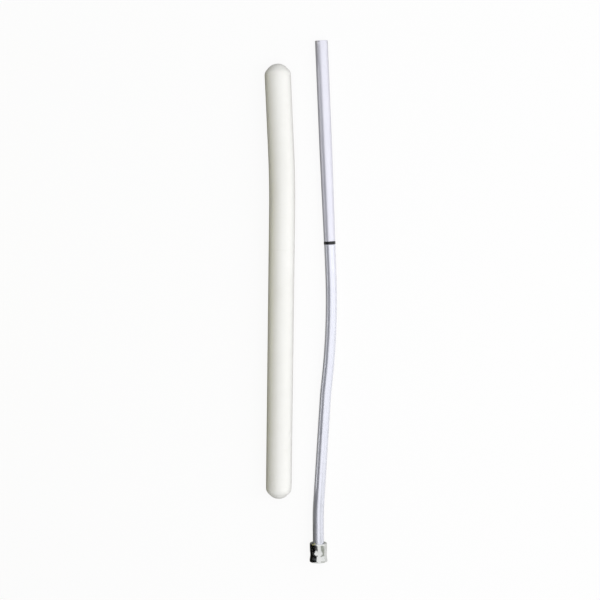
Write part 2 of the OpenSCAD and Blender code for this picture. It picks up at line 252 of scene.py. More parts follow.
# Turned piece along a route, bent with it; a profile that starts and ends on the axis closes itself
def turnedPiece(
    name, route, corners, offset=0.0, closed=True, sides=meshDetail["sides"], step=meshDetail["step"]
):
    profile = spaced(softened(corners, closed), closed, step)
    shape = bmesh.new()
    rings = []
    for point in profile:
        centre, lateral = route["at"](point.x + offset)
        if point.y < meshDetail["onAxis"]:
            rings.append([shape.verts.new(centre)])
            continue
        ring = []
        for k in range(sides):
            angle = math.tau * k / sides
            outward = math.cos(angle) * lateral + math.sin(angle) * route["lift"]
            ring.append(shape.verts.new(centre + point.y * outward))
        rings.append(ring)
    pairs = list(zip(rings, rings[1:]))
    if closed:
        pairs.append((rings[-1], rings[0]))
    for low, high in pairs:
        for k in range(sides):
            n = (k + 1) % sides
            corner = [low[k % len(low)], low[n % len(low)], high[n % len(high)], high[k % len(high)]]
            face = list(dict.fromkeys(corner))
            if len(face) > 2:
                shape.faces.new(face)
    bmesh.ops.recalc_face_normals(shape, faces=shape.faces)
    mesh = bpy.data.meshes.new(name)
    shape.to_mesh(mesh)
    shape.free()
    smoothFaces(mesh)
    return addObject(name, mesh)


# Small helpers for the node trees
def addNode(tree, kind, values=None, **properties):
    node = tree.nodes.new(kind)
    for key, value in properties.items():
        setattr(node, key, value)
    for key, value in (values or {}).items():
        node.inputs[key].default_value = value
    return node


def wire(tree, *runs):
    for source, output, target, entry in runs:
        tree.links.new(source.outputs[output], target.inputs[entry])


def mathOf(tree, operation, *values):
    node = addNode(tree, "ShaderNodeMath", operation=operation)
    for socket, value in zip(node.inputs, values):
        if isinstance(value, (int, float)):
            socket.default_value = value
        else:
            tree.links.new(value, socket)
    return node.outputs["Value"]


def rangeOf(tree, given=(0, 1), wanted=(0, 1)):
    labels = ("From Min", "From Max", "To Min", "To Max")
    return addNode(tree, "ShaderNodeMapRange", dict(zip(labels, (*given, *wanted))))


def rampOf(tree, places, tones):
    ramp = tree.nodes.new("ShaderNodeValToRGB")
    elements = ramp.color_ramp.elements
    while len(elements) < len(places):
        elements.new(0)  # its place follows below
    for element, place, tone in zip(elements, places, tones):
        element.position = place
        element.color = (*tone, 1) if isinstance(tone, tuple) else (tone, tone, tone, 1)
    return ramp


# Shared surface effects
def newGroup(name, inputs, outputs):
    group = bpy.data.node_groups.new(name, "ShaderNodeTree")
    for way, labels in (("INPUT", inputs), ("OUTPUT", outputs)):
        for label in labels:
            kind = "NodeSocketVector" if label == "Vector" else "NodeSocketFloat"
            group.interface.new_socket(label, in_out=way, socket_type=kind)
    return group, group.nodes.new("NodeGroupInput"), group.nodes.new("NodeGroupOutput")


# Fine surface grain, and slow drifts of tone over the piece
grainLook = {
    "grain": {"Detail": 3.0, "Roughness": 0.55},
    "drift": {"Detail": 4.0, "Roughness": 0.6},
    "toneStops": (0.3, 0.7),  # the drift's place for the dark and the light tone
}


def makeGrain(look):
    inputs, outputs = ("Vector", "Grain Scale", "Drift Scale"), ("Height", "Drift")
    group, given, out = newGroup("surfaceGrain", inputs, outputs)
    grain = addNode(group, "ShaderNodeTexNoise", look["grain"])
    drift = addNode(group, "ShaderNodeTexNoise", look["drift"])
    wire(
        group,
        (given, "Vector", grain, "Vector"),
        (given, "Vector", drift, "Vector"),
        (given, "Grain Scale", grain, "Scale"),
        (given, "Drift Scale", drift, "Scale"),
        (grain, "Fac", out, "Height"),
        (drift, "Fac", out, "Drift"),
    )
    return group


# Thin scuffs from handling, drawn out along and across the piece, and faint smears
scuffLook = {
    "lines": ((0.35, (1.0, 0.05, 1.0)), (-0.6, (0.06, 1.0, 1.0))),  # turn and stretch of each set
    "lineDetail": 2.0,
    "lineStops": (0.0, 0.485, 0.5, 0.515, 1.0),
    "lineTones": (0.0, 0.0, 1.0, 0.0, 0.0),
    "patch": {"Scale": 14.0, "Detail": 5.0},
    "patchStops": (0.45, 0.7),
    "patchTones": (0.0, 1.0),
}


def makeScuffs(look):
    group, given, out = newGroup("handlingScuffs", ("Vector", "Scale", "Amount"), ("Scuffs", "Smears"))
    lines = []
    for turn, stretch in look["lines"]:
        mapping = addNode(group, "ShaderNodeMapping", {"Rotation": (0, 0, turn), "Scale": stretch})
        noise = addNode(group, "ShaderNodeTexNoise", {"Detail": look["lineDetail"]})
        line = rampOf(group, look["lineStops"], look["lineTones"])
        wire(
            group,
            (given, "Vector", mapping, "Vector"),
            (mapping, "Vector", noise, "Vector"),
            (given, "Scale", noise, "Scale"),
            (noise, "Fac", line, "Fac"),
        )
        lines.append(line.outputs["Color"])
    patch = addNode(group, "ShaderNodeTexNoise", look["patch"])
    patchRamp = rampOf(group, look["patchStops"], look["patchTones"])
    wire(group, (given, "Vector", patch, "Vector"), (patch, "Fac", patchRamp, "Fac"))
    smears = patchRamp.outputs["Color"]
    scuffs = mathOf(group, "MULTIPLY", mathOf(group, "MAXIMUM", *lines), smears)
    for source, label in ((scuffs, "Scuffs"), (smears, "Smears")):
        group.links.new(mathOf(group, "MULTIPLY", source, given.outputs["Amount"]), out.inputs[label])
    return group


surfaceGrain = makeGrain(grainLook)
handlingScuffs = makeScuffs(scuffLook)
print("surface effects made")


# Every finish starts from its own settings; plain numbers sit on the shader's own sockets
def makeFinish(name, settings):
    material = bpy.data.materials.new(name)
    material.use_nodes = True
    tree = material.node_tree
    shader = tree.nodes["Principled BSDF"]
    for socket, value in settings["fixed"].items():
        shader.inputs[socket].default_value = value
    place = tree.nodes.new("ShaderNodeTexCoord")
    grainSizes = {"Grain Scale": settings["grainScale"], "Drift Scale": settings["driftScale"]}
    grain = addNode(tree, "ShaderNodeGroup", grainSizes, node_tree=surfaceGrain)
    scuffSizes = {"Scale": settings["scuffScale"], "Amount": settings["scuffAmount"]}
    scuffs = addNode(tree, "ShaderNodeGroup", scuffSizes, node_tree=handlingScuffs)
    tones = rampOf(tree, grainLook["toneStops"], (settings["darkTone"], settings["lightTone"]))
    marked = addNode(tree, "ShaderNodeMix", {"B": (*settings["scuffTone"], 1)}, data_type="RGBA")
    rough = rangeOf(tree, wanted=settings["roughness"])
    dulled = mathOf(tree, "MAXIMUM", grain.outputs["Drift"], scuffs.outputs["Smears"])
    tree.links.new(dulled, rough.inputs["Value"])
    bumpSizes = {"Strength": settings["bump"], "Distance": settings["bumpDepth"]}
    bump = addNode(tree, "ShaderNodeBump", bumpSizes)
    wire(
        tree,
        (place, "Object", grain, "Vector"),
        (place, "Object", scuffs, "Vector"),
        (grain, "Drift", tones, "Fac"),
        (scuffs, "Scuffs", marked, "Factor"),
        (tones, "Color", marked, "A"),
        (marked, "Result", shader, "Base Color"),
        (rough, "Result", shader, "Roughness"),
        (grain, "Height", bump, "Height"),
        (bump, "Normal", shader, "Normal"),
    )
    return material, bump


# Fine rings left by turning, square to the cane's length, mixed into a finish's bump
turningLook = {
    "finishes": ("turnedAlloy", "tipChrome"),
    "noise": {"Scale": 2600.0, "Detail": 3.0},
    "share": 0.6,
}


def addTurning(tree, bump, axis, look):
    place = tree.nodes.new("ShaderNodeTexCoord")
    along = addNode(tree, "ShaderNodeVectorMath", {1: axis}, operation="DOT_PRODUCT")
    noise = addNode(tree, "ShaderNodeTexNoise", look["noise"], noise_dimensions="1D")
    both = addNode(tree, "ShaderNodeMix", {"Factor": look["share"]}, data_type="FLOAT")
    tree.links.new(bump.inputs["Height"].links[0].from_socket, both.inputs["A"])
    wire(
        tree,
        (place, "Object", along, 0),
        (along, "Value", noise, "W"),
        (noise, "Fac", both, "B"),
        (both, "Result", bump, "Height"),
    )


# The drift runs from the dark to the light tone, and drift and smears from the first roughness to the
# second; the scales are in patterns to the metre
finishSettings = {
    "enamelSatin": {
        "fixed": {"Metallic": 0.58, "Coat Weight": 0.25, "Coat Roughness": 0.25},
        "darkTone": (0.755, 0.755, 0.85),
        "lightTone": (0.8, 0.8, 0.885),
        "scuffTone": (0.6, 0.6, 0.66),
        "roughness": (0.24, 0.36),
        "grainScale": 1400.0,
        "driftScale": 16.0,
        "scuffScale": 70.0,
        "scuffAmount": 0.25,
        "bump": 0.05,
        "bumpDepth": 0.1 * mm,
    },
    "enamelGloss": {
        "fixed": {"Metallic": 0.68, "Coat Weight": 0.5, "Coat Roughness": 0.2},
        "darkTone": (0.795, 0.805, 0.905),
        "lightTone": (0.835, 0.845, 0.935),
        "scuffTone": (0.6, 0.6, 0.68),
        "roughness": (0.2, 0.3),
        "grainScale": 1100.0,
        "driftScale": 14.0,
        "scuffScale": 70.0,
        "scuffAmount": 0.2,
        "bump": 0.03,
        "bumpDepth": 0.1 * mm,
    },
    "ringRubber": {
        "fixed": {"Specular IOR Level": 0.4, "Coat Weight": 0.3, "Coat Roughness": 0.04},
        "darkTone": (0.004, 0.004, 0.006),
        "lightTone": (0.01, 0.01, 0.013),
        "scuffTone": (0.05, 0.05, 0.055),
        "roughness": (0.06, 0.13),
        "grainScale": 2600.0,
        "driftScale": 120.0,
        "scuffScale": 200.0,
        "scuffAmount": 0.3,
        "bump": 0.12,
        "bumpDepth": 0.1 * mm,
    },
    "tipChrome": {
        "fixed": {"Metallic": 1.0},
        "darkTone": (0.72, 0.735, 0.725),
        "lightTone": (0.82, 0.825, 0.815),
        "scuffTone": (0.5, 0.5, 0.49),
        "roughness": (0.1, 0.18),
        "grainScale": 1800.0,
        "driftScale": 60.0,
        "scuffScale": 160.0,
        "scuffAmount": 0.45,
        "bump": 0.03,
        "bumpDepth": 0.1 * mm,
    },
    "padRubber": {
        "fixed": {},
        "darkTone": (0.018, 0.018, 0.018),
        "lightTone": (0.05, 0.049, 0.047),
        "scuffTone": (0.16, 0.155, 0.145),
        "roughness": (0.6, 0.85),
        "grainScale": 1500.0,
        "driftScale": 150.0,
        "scuffScale": 240.0,
        "scuffAmount": 0.7,
        "bump": 0.4,
        "bumpDepth": 0.2 * mm,
    },
    "caseCream": {
        "fixed": {"Coat Weight": 0.12, "Coat Roughness": 0.35},
        "darkTone": (0.865, 0.862, 0.828),
        "lightTone": (0.91, 0.908, 0.883),
        "scuffTone": (0.74, 0.73, 0.66),
        "roughness": (0.36, 0.5),
        "grainScale": 1500.0,
        "driftScale": 11.0,
        "scuffScale": 55.0,
        "scuffAmount": 0.18,
        "bump": 0.1,
        "bumpDepth": 0.15 * mm,
    },
    "neckCream": {
        "fixed": {"Coat Weight": 0.1, "Coat Roughness": 0.3},
        "darkTone": (0.8, 0.785, 0.67),
        "lightTone": (0.86, 0.85, 0.745),
        "scuffTone": (0.62, 0.61, 0.53),
        "roughness": (0.3, 0.45),
        "grainScale": 1700.0,
        "driftScale": 30.0,
        "scuffScale": 120.0,
        "scuffAmount": 0.6,
        "bump": 0.08,
        "bumpDepth": 0.12 * mm,
    },
    "turnedAlloy": {
        "fixed": {"Metallic": 1.0},
        "darkTone": (0.6, 0.61, 0.63),
        "lightTone": (0.74, 0.75, 0.765),
        "scuffTone": (0.42, 0.42, 0.43),
        "roughness": (0.2, 0.36),
        "grainScale": 2200.0,
        "driftScale": 90.0,
        "scuffScale": 180.0,
        "scuffAmount": 0.5,
        "bump": 0.12,
        "bumpDepth": 0.15 * mm,
    },
    "mouldedNylon": {
        "fixed": {"Subsurface Weight": 0.08, "Subsurface Scale": 2 * mm},
        "darkTone": (0.68, 0.675, 0.62),
        "lightTone": (0.78, 0.775, 0.72),
        "scuffTone": (0.5, 0.49, 0.45),
        "roughness": (0.38, 0.55),
        "grainScale": 2000.0,
        "driftScale": 80.0,
        "scuffScale": 160.0,
        "scuffAmount": 0.4,
        "bump": 0.1,
        "bumpDepth": 0.15 * mm,
    },
    "platedSteel": {
        "fixed": {"Metallic": 1.0},
        "darkTone": (0.46, 0.465, 0.47),
        "lightTone": (0.6, 0.605, 0.6),
        "scuffTone": (0.32, 0.31, 0.29),
        "roughness": (0.22, 0.4),
        "grainScale": 2600.0,
        "driftScale": 140.0,
        "scuffScale": 260.0,
        "scuffAmount": 0.6,
        "bump": 0.1,
        "bumpDepth": 0.1 * mm,
    },
    "cordSheath": {
        "fixed": {"Sheen Weight": 0.3, "Sheen Roughness": 0.5},
        "darkTone": (0.012, 0.012, 0.014),
        "lightTone": (0.035, 0.035, 0.04),
        "scuffTone": (0.1, 0.1, 0.105),
        "roughness": (0.65, 0.9),
        "grainScale": 5200.0,
        "driftScale": 300.0,
        "scuffScale": 500.0,
        "scuffAmount": 0.6,
        "bump": 0.5,
        "bumpDepth": 0.15 * mm,
    },
    "sealRubber": {
        "fixed": {},
        "darkTone": (0.02, 0.02, 0.021),
        "lightTone": (0.042, 0.042, 0.043),
        "scuffTone": (0.1, 0.1, 0.1),
        "roughness": (0.45, 0.65),
        "grainScale": 3000.0,
        "driftScale": 200.0,
        "scuffScale": 300.0,
        "scuffAmount": 0.4,
        "bump": 0.15,
        "bumpDepth": 0.1 * mm,
    },
}
finishes = {}
for finishName, finishValues in finishSettings.items():
    finish, finishBump = makeFinish(finishName, finishValues)
    if finishName in turningLook["finishes"]:
        addTurning(finish.node_tree, finishBump, caneUp, turningLook)
    finishes[finishName] = finish
print("finishes made:", len(finishes))


def dress(piece, finishName, body, slotName, *nodes):
    piece.data.materials.clear()
    piece.data.materials.append(finishes[finishName])
    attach(piece, body)
    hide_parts(*nodes)


# Upper section: a straight grip that tapers to the joint, with a flat cap in its top end
upperTube = {
    "length": caneSizes["upperLength"],
    "gripLength": 190 * mm,
    "gripRadius": 10.95 * mm,
    "taperRound": 12 * mm,
    "mouthRadius": 9.9 * mm,
    "flangeRadius": 9 * mm,
    "flangeDepth": 2 * mm,
    "edge": 0.4 * mm,
}


def makeUpperTube(size):
    length, bore, edge = size["length"], caneSizes["bore"] / 2, size["edge"]
    corners = [
        (0, size["mouthRadius"], edge),
        (length - size["gripLength"], size["gripRadius"], size["taperRound"]),
        (length, size["gripRadius"], edge / 2),
        (length, size["flangeRadius"], 0),
        (length - size["flangeDepth"], size["flangeRadius"], 0),
        (length - size["flangeDepth"], bore, 0),
        (caneSizes["sleeveLength"], bore, 0),
        (caneSizes["sleeveLength"], caneSizes["sleeveRadius"], 0),
        (0, caneSizes["sleeveRadius"], 0),
    ]
    return turnedPiece("upperTube", upperRoute, corners)


topCap = {
    "thickness": 3 * mm,
    "round": 1 * mm,
    "lip": 0.1 * mm,
    "stemLength": 12 * mm,
    "stemRadius": 5.5 * mm,
    "crown": 0.15 * mm,
    "crownSpan": 0.6,  # shares of the cap's radius
    "crownRound": 0.3,
}


def makeTopCap(size):
    base, radius = upperTube["length"], upperTube["gripRadius"]
    top = base + size["thickness"]
    corners = [
        (base - size["stemLength"], 0, 0),
        (base - size["stemLength"], size["stemRadius"], edgeBreak["full"]),
        (base, size["stemRadius"], 0),
        (base, radius - size["lip"], edgeBreak["small"]),
        (top - size["crown"], radius, size["round"]),
        (top, radius * size["crownSpan"], radius * size["crownRound"]),
        (top, 0, 0),
    ]
    return turnedPiece("topCap", upperRoute, corners, closed=False)


# Black ring between the sections
jointRing = {"gap": 0.1 * mm, "outer": 10.2 * mm, "inner": 7.5 * mm, "round": 1 * mm, "sides": 128}


def makeJointRing(size):
    low, high = -caneSizes["ringSlot"] + size["gap"], -size["gap"]
    corners = [
        (low, size["inner"], edgeBreak["plain"]),
        (low, size["outer"], size["round"]),
        (high, size["outer"], size["round"]),
        (high, size["inner"], edgeBreak["plain"]),
    ]
    return turnedPiece("jointRing", upperRoute, corners, sides=size["sides"])


# Sleeve, spigot and nose of the joint
jointFit = {
    "spigotReach": 40 * mm,
    "spigotRoot": 38 * mm,
    "spigotBore": 4.5 * mm,
    "spigotStep": 4 * mm,
    "leadIn": 0.6 * mm,
    "noseLength": 6 * mm,
    "noseRadius": 7 * mm,
    "noseRound": 2.5 * mm,
    "nosePlug": 8 * mm,
    "cordHole": 2.2 * mm,
    "holeRound": 1 * mm,
}


def makeJointSleeve(size):
    bore, radius, length = caneSizes["bore"] / 2, caneSizes["sleeveRadius"], caneSizes["sleeveLength"]
    corners = [
        (0, radius, edgeBreak["sharp"]),
        (length, radius, edgeBreak["sharp"]),
        (length, bore, edgeBreak["small"]),
        (size["leadIn"], bore, edgeBreak["sharp"]),
        (0, bore + size["leadIn"], edgeBreak["sharp"]),
    ]
    return turnedPiece("jointSleeve", upperRoute, corners)


def makeJointSpigot(size):
    bore = caneSizes["bore"] / 2
    slim = bore - caneSizes["fitGap"]
    top = -caneSizes["ringSlot"] - size["spigotReach"]
    corners = [
        (top, size["spigotBore"], edgeBreak["small"]),
        (top, slim - size["leadIn"], edgeBreak["fine"]),
        (top + size["leadIn"], slim, edgeBreak["fine"]),
        (0, slim, 0),
        (0, bore, 0),
        (size["spigotRoot"], bore, edgeBreak["plain"]),
        (size["spigotRoot"], size["spigotBore"], edgeBreak["small"]),
    ]
    return turnedPiece("jointSpigot", lowerRoute, corners, step=size["spigotStep"])


def makeSpigotNose(size):
    base = size["spigotReach"]
    top = base + size["noseLength"]
    corners = [
        (base - size["nosePlug"], size["cordHole"], edgeBreak["plain"]),
        (base - size["nosePlug"], size["spigotBore"], edgeBreak["plain"]),
        (base, size["spigotBore"], 0),
        (base, size["noseRadius"], edgeBreak["plain"]),
        (top, size["noseRadius"], size["noseRound"]),
        (top, size["cordHole"], size["holeRound"]),
    ]
    return turnedPiece("spigotNose", upperRoute, corners)


# Chrome tip with a barrel, a waist and a flared foot
tipShell = {
    "seatDeep": 22.3 * mm,
    "length": 33.5 * mm,
    "barrelRadius": 15.2 * mm,
    "barrelLength": 13 * mm,
    "barrelRound": 10 * mm,
    "waistRadius": 14.2 * mm,
    "waistDrop": 21.5 * mm,
    "waistRound": 45 * mm,
    "footRadius": 15.7 * mm,
    "footLength": 4 * mm,
    "footRound": 2.5 * mm,
    "round": 1.6 * mm,
    "tubeHole": 10.05 * mm,
    "holeEdge": 0.4 * mm,
    "padRadius": 11 * mm,
    "padDepth": 3.2 * mm,
    "floor": 4 * mm,
    "screwHole": 2.5 * mm,
    "screwHead": 4.5 * mm,
    "sides": 128,
    "step": 1.5 * mm,
}


def makeTipShell(size):
    top = -size["seatDeep"]
    bottom = top + size["length"]
    recess = bottom - size["padDepth"]
    corners = [
        (top, size["tubeHole"], size["holeEdge"]),
        (top, size["barrelRadius"], size["round"]),
        (top + size["barrelLength"], size["barrelRadius"], size["barrelRound"]),
        (top + size["waistDrop"], size["waistRadius"], size["waistRound"]),
        (bottom - size["footLength"], size["footRadius"], size["footRound"]),
        (bottom, size["footRadius"], size["round"]),
        (bottom, size["padRadius"], edgeBreak["plain"]),
        (recess, size["padRadius"], edgeBreak["small"]),
        (recess, size["screwHead"], 0),
        (recess - size["screwHead"] + size["screwHole"], size["screwHole"], 0),
        (recess - size["floor"], size["screwHole"], edgeBreak["small"]),
        (recess - size["floor"], size["tubeHole"], edgeBreak["plain"]),
    ]
    return turnedPiece(
        "tipShell", lowerRoute, corners, offset=lowerEnd, sides=size["sides"], step=size["step"]
    )


# Wear pad with ring grooves in its face
tipPad = {
    "radius": 10.9 * mm,
    "top": 8.05 * mm,
    "bottom": 12.2 * mm,
    "round": 0.6 * mm,
    "grooves": 4,
    "grooveDepth": 0.8 * mm,
    "grooveMouth": 0.3,  # half widths and shift outwards, as shares of the pitch
    "grooveFloor": 0.18,
    "grooveShift": 0.1,
}


def makeTipPad(size):
    top, bottom, radius = size["top"], size["bottom"], size["radius"]
    mouth, floor, depth = size["grooveMouth"], size["grooveFloor"], size["grooveDepth"]
    corners = [(top, 0, 0), (top, radius, edgeBreak["plain"]), (bottom, radius, size["round"])]
    pitch = radius / (size["grooves"] + 1)
    for k in range(size["grooves"], 0, -1):
        middle = pitch * (k + size["grooveShift"])
        for drop, shift in ((0, mouth), (depth, floor), (depth, -floor), (0, -mouth)):
            corners.append((bottom - drop, middle + shift * pitch, edgeBreak["fine"]))
    corners.append((bottom, 0, 0))
    return turnedPiece("tipPad", lowerRoute, corners, offset=lowerEnd, closed=False)


# Stem that plugs into the tube's end
tipStem = {
    "length": 28 * mm,
    "flange": 4 * mm,
    "flangeRadius": 10.0 * mm,
    "taper": 1.2 * mm,
    "taperLength": 2 * mm,
    "taperRound": 0.4 * mm,
    "ribs": 5,
    "ribStart": 4 * mm,
    "plainLength": 6 * mm,  # without ribs, both ends together
    "grooveDepth": 0.35 * mm,
    "grooveStops": (0.55, 0.62, 0.88, 0.95),  # shares of the pitch
}


def makeTipStem(size):
    slim = caneSizes["bore"] / 2 - caneSizes["fitGap"]
    length, depth = size["length"], size["grooveDepth"]
    corners = [
        (-length, 0, 0),
        (-length, slim - size["taper"], edgeBreak["plain"]),
        (-length + size["taperLength"], slim, size["taperRound"]),
    ]
    pitch = (length - size["plainLength"]) / size["ribs"]
    for k in range(size["ribs"]):  # shallow grooves between moulded ribs
        start = -length + size["ribStart"] + k * pitch
        for stop, drop in zip(size["grooveStops"], (0, depth, depth, 0)):
            corners.append((start + pitch * stop, slim - drop, edgeBreak["fine"]))
    corners += [
        (0, slim, edgeBreak["small"]),
        (0, size["flangeRadius"], edgeBreak["small"]),
        (size["flange"], size["flangeRadius"], edgeBreak["small"]),
        (size["flange"], 0, 0),
    ]
    return turnedPiece("tipStem", lowerRoute, corners, offset=lowerEnd, closed=False)


# Elastic cord with a braided sheath, and the tip's eye that its loop goes through
cordSizes = {
    "radius": 2 * mm,
    "strands": 8,
    "pitch": 9 * mm,
    "relief": 0.22 * mm,
    "spacing": 0.45 * mm,
    "sides": 32,
    "routeStep": 2 * mm,
    "knotFoot": 311 * mm,  # both up from the mouth of the upper tube
    "noseTop": 46 * mm,
    "runGap": 0.06 * mm,  # between the two runs, because the lower one turns with its section
    "eyeRadius": 4 * mm,
    "eyeWire": 2.5 * mm,
    "loopRadius": 4.3 * mm,
    "loopPoints": 48,
    "linkSlack": 0.1 * mm,
}
# Heights of the eye and the loop, up from the lower tube's end
eyeHeight = tipStem["length"] + cordSizes["eyeRadius"] + cordSizes["eyeWire"] / 2
loopHeight = eyeHeight + cordSizes["eyeRadius"] - cordSizes["eyeWire"] / 2 - cordSizes["radius"]
loopHeight += cordSizes["loopRadius"] - cordSizes["linkSlack"]
loopTop = loopHeight + cordSizes["loopRadius"]

# Crimp that closes the cord's loop, squeezed in two bands
cordCrimp = {
    "radius": 3.8 * mm,
    "length": 10 * mm,
    "rise": 0.6 * mm,
    "bands": (0.3, 0.7),  # shares of the length
    "bandMouth": 1.4 * mm,  # half widths
    "bandFloor": 0.7 * mm,
    "squeeze": 0.5 * mm,
    "sides": 64,
}


def makeCordCrimp(size):
    low = -(loopTop + cordSizes["radius"] + size["rise"])
    high = low - size["length"]
    outer, inner = size["radius"], cordSizes["radius"] + caneSizes["fitGap"]
    mouth, floor, squeeze = size["bandMouth"], size["bandFloor"], size["squeeze"]
    corners = [(low, inner, edgeBreak["small"]), (low, outer, edgeBreak["full"])]
    for share in size["bands"]:
        middle = low + (high - low) * share
        for shift, drop in ((mouth, 0), (floor, squeeze), (-floor, squeeze), (-mouth, 0)):
            corners.append((middle + shift, outer - drop, edgeBreak["plain"]))
    corners += [(high, outer, edgeBreak["full"]), (high, inner, edgeBreak["small"])]
    return turnedPiece("cordCrimp", lowerRoute, corners, offset=lowerEnd, sides=size["sides"])


# Case: two tubes, each with one blunt closed end, and the cap bowed; thin moves an end's outline inwards
def noseArc(thin):
    blunt, shoulder, steps = caseSizes["bluntRadius"], caseSizes["shoulderRadius"], caseSizes["noseSteps"]
    turn = 90 / 2  # degrees: the blunt arc and the shoulder's share a quarter turn
    half = math.radians(turn)
    shoulderX = caseSizes["diameter"] / 2 - shoulder
    shoulderY = blunt + shoulderX + (shoulder - blunt) * (math.cos(half) + math.sin(half))
    arcs = ((blunt, 0, blunt - thin, 0), (shoulderY, shoulderX, shoulder - thin, turn))
    points = []
    for centre, across, bend, first in arcs:
        for k in range(steps + 1):
            angle = math.radians(first + turn * k / steps)
            points.append((centre - bend * math.cos(angle), across + bend * math.sin(angle), 0))
    return points, shoulderY


def makeCaseBody(size):
    outer, _ = noseArc(0)
    inner, _ = noseArc(size["wall"])
    radius = size["diameter"] / 2
    rim = [(bodyLength, radius, size["rimEdge"]), (bodyLength, radius - size["wall"], edgeBreak["small"])]
    corners = outer + rim + inner[::-1]
    return turnedPiece(
        "caseBody", bodyRoute, corners, closed=False, sides=size["sides"], step=size["bodyStep"]
    )


def makeCaseCap(size):
    outer, noseLength = noseArc(0)
    inner, _ = noseArc(size["wall"])
    end = capRoute["length"] + noseLength
    radius = size["diameter"] / 2
    rim = size["seamHair"] - size["seamGap"]  # the cap's rim all but touches the body
    corners = [(end - along, across, 0) for along, across, _ in outer]
    corners += [(rim, radius, size["rimEdge"]), (rim, radius - size["wall"], edgeBreak["small"])]
    corners += [(end - along, across, 0) for along, across, _ in inner[::-1]]
    return turnedPiece("caseCap", capRoute, corners, closed=False, sides=size["sides"])


# Neck that the cap slides on to, and the friction ring on it
caseNeck = {
    "wall": 2.4 * mm,
    "root": 30 * mm,
    "reach": 30 * mm,
    "room": 0.1 * mm,
    "leadIn": 0.6 * mm,
    "seatSpan": 165,  # degrees of the friction ring's round seat
    "seatSteps": 6,  # on each half of the seat
}
neckRing = {"section": 1.6 * mm, "rise": 18 * mm, "steps": 20, "sides": 160}


def makeCaseNeck(size, ring):
    bore = caseSizes["diameter"] / 2 - caseSizes["wall"]
    slim = bore - size["room"]
    half = ring["section"] / 2
    seatHeight = bodyLength + ring["rise"]
    seatRadius = bore - caneSizes["fitGap"] - half
    top = bodyLength + size["reach"]
    seat = []
    for k in range(2 * size["seatSteps"] + 1):
        angle = math.radians(size["seatSpan"] * (1 - k / size["seatSteps"]) / 2)
        seat.append((seatHeight - half * math.sin(angle), seatRadius - half * math.cos(angle), 0))
    seat[0] = (seat[0][0], slim, 0)  # both ends of the seat lie on the neck
    seat[-1] = (seat[-1][0], slim, 0)
    corners = [
        (bodyLength - size["root"], bore - size["wall"], edgeBreak["plain"]),
        (bodyLength - size["root"], bore, edgeBreak["small"]),
        (bodyLength, bore, 0),
        (bodyLength, slim, 0),
        *seat,
        (top - size["leadIn"], slim, edgeBreak["plain"]),
        (top, slim - size["leadIn"], edgeBreak["plain"]),
        (top, bore - size["wall"], edgeBreak["plain"]),
    ]
    return turnedPiece("caseNeck", bodyRoute, corners, sides=caseSizes["sides"], step=caseSizes["bodyStep"])


def makeNeckRing(ring):
    half = ring["section"] / 2
    height = bodyLength + ring["rise"]
    centre = caseSizes["diameter"] / 2 - caseSizes["wall"] - caneSizes["fitGap"] - half
    corners = []
    for k in range(ring["steps"]):
        angle = math.tau * k / ring["steps"]
        corners.append((height + half * math.sin(angle), centre + half * math.cos(angle), 0))
    return turnedPiece("neckRing", bodyRoute, corners, sides=ring["sides"])


